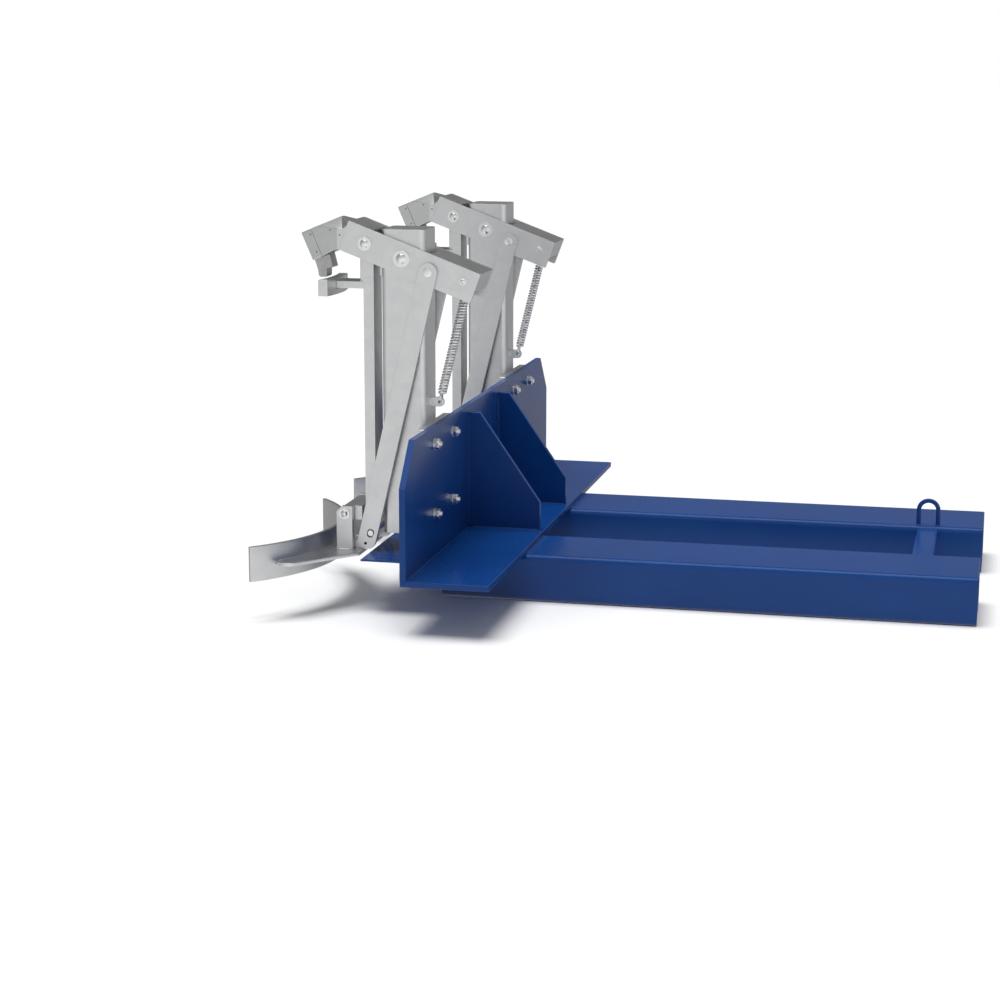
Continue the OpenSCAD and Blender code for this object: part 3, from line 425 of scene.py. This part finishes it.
for head, middle in (("left", -306), ("right", 306)):
    beam, bar, saddle = f"{head}_beam", f"{head}_front_bar", f"{head}_saddle"

    # Column and flange. A box tube, 75 x 80 x 5 mm, with a cap. It is welded to a flange that
    # four bolts hold. A lug in front steadies the front bar and one behind holds the spring.
    dress([f"{head}_column", f"{head}_flange", f"{head}_column_lugs"], zinc, 0.001)
    runs = [[(at(458, middle + side * 36, 141), (-1, side, 0)),
        (at(458, middle + side * 36, 311), (-1, side, 0))] for side in (-1, 1)]
    runs.append([(at(460, middle - 29, 138), (1, 0, -1)), (at(460, middle + 29, 138), (1, 0, -1))])
    weld(f"{head}_column_welds", "frame", "galvanised_steel", weld_zinc, runs, 0.004)
    runs = [[(at(460, middle + side * 3, 341), (1, side, 0)),
        (at(460, middle + side * 3, 354), (1, side, 0))] for side in (-1, 1)]
    runs.append([(at(385, middle - 19, 590.5), (-1, 0, 1)), (at(385, middle + 19, 590.5), (-1, 0, 1))])
    weld(f"{head}_lug_welds", "frame", "galvanised_steel", weld_zinc, runs, 0.002)

    # Bolts. M10 hexagon bolts from the front, each with a washer and nut behind the bolt plate
    # and two turns of thread showing. Each outline is pairs of a place along the bolt and a radius.
    thread_pitch, thread_depth, across_flats = 1.5, 0.55, 16

    def bolt_ring(y, z, x, limit, flats=None, turned=0.0, thread=0.0):
        """Points around a bolt's axis: round, or six flats cut off by a turned chamfer."""
        ring = []
        for i in range(48):
            a = i / 48 * 2 * math.pi
            reach = limit
            if flats:
                reach = min(reach, flats / math.cos((a + turned) % (math.pi / 3) - math.pi / 6))
            if thread:
                turn = (x / thread_pitch - i / 48) % 1
                reach -= thread * 2 * min(turn, 1 - turn)
            ring.append(at(x, y + reach * math.sin(a), z + reach * math.cos(a)))
        return ring

    points, faces = [], []
    for i, (y, z) in enumerate(((-63, 286), (63, 286), (-63, 166), (63, 166))):
        y, turned = middle + y, 0.4 * i
        rings = [bolt_ring(y, z, x, r) for x, r in ((481.9, 0.1), (482, 9.8), (482.2, 10),
            (483.3, 10), (483.5, 9.8))]
        rings += [bolt_ring(y, z, x, r, across_flats / 2, turned) for x, r in ((483.5, 7.9),
            (483.8, 8.4), (484.1, 8.9), (484.5, 9.5), (490.5, 9.5), (490.9, 8.9), (491.2, 8.4),
            (491.5, 7.9))]
        rings += [bolt_ring(y, z, x, r) for x, r in ((491.5, 5.3), (491.2, 5.0))]
        rings += [bolt_ring(y, z, 491.2 + 0.25 * k, 5.0, thread=thread_depth) for k in range(14)]
        rings += [bolt_ring(y, z, x, r) for x, r in ((494.7, 4.6), (495.4, 3.9), (495.8, 2.8),
            (496.0, 1.4), (496.04, 0.1))]
        heads = [bolt_ring(y, z, x, r, across_flats / 2, turned + 0.3) for x, r in ((460, 0.1),
            (460, 9.5), (454.6, 9.5), (454.2, 8.9), (453.9, 8.4), (453.6, 7.9), (453.7, 6.5),
            (453.7, 0.1))]
        for stack in (rings, heads):
            more, skin = tube(stack)
            faces += [[len(points) + k for k in face] for face in skin]
            points += more
    bolts = add_piece(f"{head}_bolt_set", "frame", "bright_fastener", bright, points, faces)
    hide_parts(f"{head}_bolts")

    # Beam and beak. Two flat cheeks joined by webs, and a tapered beak folded from 6 mm plate to a
    # narrow crest and welded to a bar along its front edge. A forged tooth hangs under that bar.
    dress([f"{head}_{n}" for n in ("outer_cheek", "inner_cheek", "beam_webs")], zinc, 0.001)
    dress([f"{head}_tooth"], tool_steel, 0.0012)
    corners = {"foot": (279.2, 593.2, 30.4), "front": (257.2, 638.1, 22.6),
        "notch": (288, 597.5, 33.5), "throat": (305, 605.5, 39.5), "low": (309.2, 606.1, 41),
        "fold": (309.2, 641.7, 41), "slope": (272, 644.2, 27.8), "crest": (307.7, 659.5, 6),
        "back": (319, 641, 41), "chin": (313.2, 606.6, 41), "brow": (329.3, 649.7, 41),
        "heel": (326.3, 601.7, 41), "roof": (342.4, 644.8, 41)}
    names = list(corners)
    points = [at(x, middle + side * y, z) for side in (-1, 1) for x, z, y in corners.values()]
    faces = []
    for turn in (0, len(names)):
        for way in ("foot notch throat low fold slope front", "low chin heel roof brow back fold",
                "slope fold crest", "fold back crest", "crest back brow"):
            face = [names.index(corner) + turn for corner in way.split()]
            faces.append(face if turn else face[::-1])
    for a, b in (("front", "slope"), ("slope", "crest"), ("crest", "brow"), ("brow", "roof")):
        a, b = names.index(a), names.index(b)
        faces.append([a, b, b + len(names), a + len(names)])
    shell = add_piece(f"{head}_beak_shell", beam, "galvanised_steel", zinc_with_painted_hole_shade, points, faces)
    plate = shell.modifiers.new("plate", "SOLIDIFY")
    plate.thickness, plate.offset, plate.use_even_offset = 0.006, -1, True
    fold = shell.modifiers.new("folds", "BEVEL")
    fold.width, fold.segments, fold.angle_limit = 0.0012, 3, math.radians(15)
    shell.modifiers.new("even", "WEIGHTED_NORMAL").keep_sharp = True
    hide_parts(f"{head}_beak")
    points = [at(x, middle + side * (y + 0.5), z) for side in (-1, 1) for x, z, y in (
        (238.5, 630.5, 16), (257.2, 638.1, 22.6), (279.2, 593.2, 30.4), (261.5, 584.5, 24.1))]
    bar_block = add_piece(f"{head}_nose_bar", beam, "galvanised_steel", zinc_with_painted_hole_shade, points,
        [(0, 1, 2, 3), (4, 5, 6, 7), (0, 1, 5, 4), (1, 2, 6, 5), (2, 3, 7, 6), (3, 0, 4, 7)])
    fold = bar_block.modifiers.new("edges", "BEVEL")
    fold.width, fold.segments = 0.0018, 4
    bar_block.modifiers.new("even", "WEIGHTED_NORMAL").keep_sharp = True
    runs = []
    for side in (-1, 1):
        (low_x, low_z), (high_x, high_z) = on_beam(0, -23), on_beam(0, 17)
        way = (-math.cos(tilt), side, math.sin(tilt))
        runs.append([(at(low_x, middle + side * 41, low_z), way),
            (at(high_x, middle + side * 41, high_z), way)])
        runs.append([(at(264, middle + side * 15, 586), (0, side, -1)),
            (at(277, middle + side * 15, 592), (0, side, -1))])
    weld(f"{head}_beak_welds", beam, "galvanised_steel", weld_zinc, runs, 0.0025)

    # Pins. Turned bars, held in the cheeks and in the saddle's lugs. Most end in a flat collar with
    # a low dome on it, the links' upper pins in a dome alone, and their lower pin is cut flush.
    dress([f"{head}_{n}" for n in ("hinge_pin", "nose_pin", "link_pins", "spring_pin",
        "saddle_pins")], bright, 0.0004)

    # Front bar and jaw. A flat bar hangs from the beam's nose pin. Its arm carries the curved pad
    # that stands against the tooth, and the block at its foot carries the saddle's pivot.
    dress([f"{head}_{n}" for n in ("front_bar", "jaw_arm", "jaw_pad", "cross_block")], zinc, 0.001)
    runs = [[(at(349.8, middle + side * 20, 557), (-1, side, 0)),
        (at(349.8, middle + side * 20, 598), (-1, side, 0))] for side in (-1, 1)]
    runs += [[(at(x, middle - y, z), way), (at(x, middle + y, z), way)] for x, y, z, way in (
        (342.8, 19, 551.5, (-1, 0, 1)), (349.8, 24, 539.5, (-1, 0, -1)),
        (349.8, 24, 169.5, (-1, 0, 1)))]
    runs += [[(at(math.sqrt(303 ** 2 - y * y), middle + y, z), (1, 0, up))
        for y in (-24, -12, 0, 12, 24)] for z, up in ((551.5, 1), (539.5, -1))]
    runs += [[(at(349.8, middle + side * 25, 147), (1, side, 0)),
        (at(349.8, middle + side * 25, 168), (1, side, 0))] for side in (-1, 1)]
    weld(f"{head}_bar_welds", bar, "galvanised_steel", weld_zinc, runs, 0.0022)

    # Links. Two flat bars from the beam down to the saddle, each slotted at its lower pin, with a
    # blackened socket screw below the slot.
    dress([f"{head}_outer_link", f"{head}_inner_link"], zinc, 0.001)
    dress([f"{head}_link_screws"], black_oxide, 0.0002)

    # Saddle. A band rolled to a radius of 287 mm and stiffened by a flat rib welded behind it, with
    # lugs for its pivot and for the links' lower pin.
    dress([f"{head}_{n}" for n in ("saddle_band", "saddle_rib", "saddle_lugs")], zinc, 0.001)
    runs = [[(at(293 * math.cos(math.radians(a)), middle + 293 * math.sin(math.radians(a)), z),
        (math.cos(math.radians(a)), math.sin(math.radians(a)), up)) for a in range(-35, 36, 5)]
        for z, up in ((95.5, 1), (89.5, -1))]
    runs += [[(at(310, middle + side * y, 95.5), (0, side * out, 1)),
        (at(334, middle + side * y, 95.5), (0, side * out, 1))]
        for side in (-1, 1) for y, out in ((60, 1), (50, -1), (41, -1))]
    weld(f"{head}_saddle_welds", saddle, "galvanised_steel", weld_zinc, runs, 0.0025)

    # Spring. Hard drawn wire, coiled to 16 mm across, with a loop at each end: one through the
    # column's lug, one around a pin. The CAD's wire is 2.8 mm. It is drawn here as 4.4 mm, in 38
    # turns that stand apart at every pose, because finer turns blur into a plain tube.
    lower, upper = at(476, middle, 347.5), at(527.9, middle, 558.4)
    up = (upper - lower).normalized()
    across = Vector((0, 1, 0))
    ahead = across.cross(up)
    length, loop, coil, neck = (upper - lower).length * 1000, 6.8, 5.8, 2.8
    wire_radius, steps = 0.0022, 18
    path = [(0, loop * math.sin(math.radians(a)), loop - loop * math.cos(math.radians(a)))
        for a in range(-150, 166, 12)]
    low, high, turns = 2 * loop + neck, length - loop - neck, 38 + 20 / 360
    for i in range(round(turns * steps) + 1):
        share = i / round(turns * steps)
        a = math.radians(215) + turns * 2 * math.pi * share
        path.append((coil * math.cos(a), coil * math.sin(a), low + (high - low) * share))
    path += [(loop * math.sin(math.radians(a)), 0, length - loop * math.cos(math.radians(a)))
        for a in range(15, 326, 12)]
    path = [lower + (ahead * x + across * y + up * z) / 1000 for x, y, z in path]
    rings, lean = [], across
    for i, spot in enumerate(path):
        along = (path[min(i + 1, len(path) - 1)] - path[max(i - 1, 0)]).normalized()
        lean = (lean - along * lean.dot(along)).normalized()
        side = along.cross(lean)
        rings.append([spot + (lean * math.cos(a) + side * math.sin(a)) * wire_radius
            for a in (j * math.pi / 4 for j in range(8))])
    spring = add_piece(f"{head}_coil_spring", "frame", "spring_steel", spring_wire, *tube(rings))
    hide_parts(f"{head}_spring")
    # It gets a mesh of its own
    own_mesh(spring)
